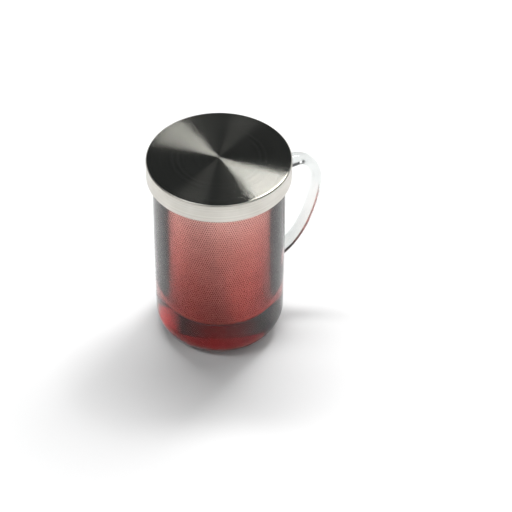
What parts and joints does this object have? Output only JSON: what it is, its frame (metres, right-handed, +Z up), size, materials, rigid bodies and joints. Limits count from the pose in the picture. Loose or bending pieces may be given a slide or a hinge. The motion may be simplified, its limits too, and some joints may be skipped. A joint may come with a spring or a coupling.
{
  "type": "lidded glass tea mug with strainer",
  "caption": "Clear glass tea mug with a fused glass handle, a steel strainer hung inside from the rim, red herbal tea, and a spun steel cap lid over the rim.",
  "frame": {"origin": "centre of the flat underside of the glass, which is the face the mug stands on", "axes": "+Z up along the mug's own axis, +X from the axis through the handle, +Y to the left of the handle"},
  "size_m": [0.1127, 0.087, 0.1319],
  "materials": {
    "clear_glass": "clear polished",
    "lid_steel": "circular brushed top, satin skirt",
    "strainer_steel": "satin, perforated",
    "red_tea": "clear deep red liquid"
  },
  "bodies": {
    "root": {"glass_mug": "clear_glass", "steel_lid": "lid_steel", "steel_strainer": "strainer_steel", "red_tea": "red_tea", "tea_in_strainer": "red_tea"}
  },
  "joints": []
}
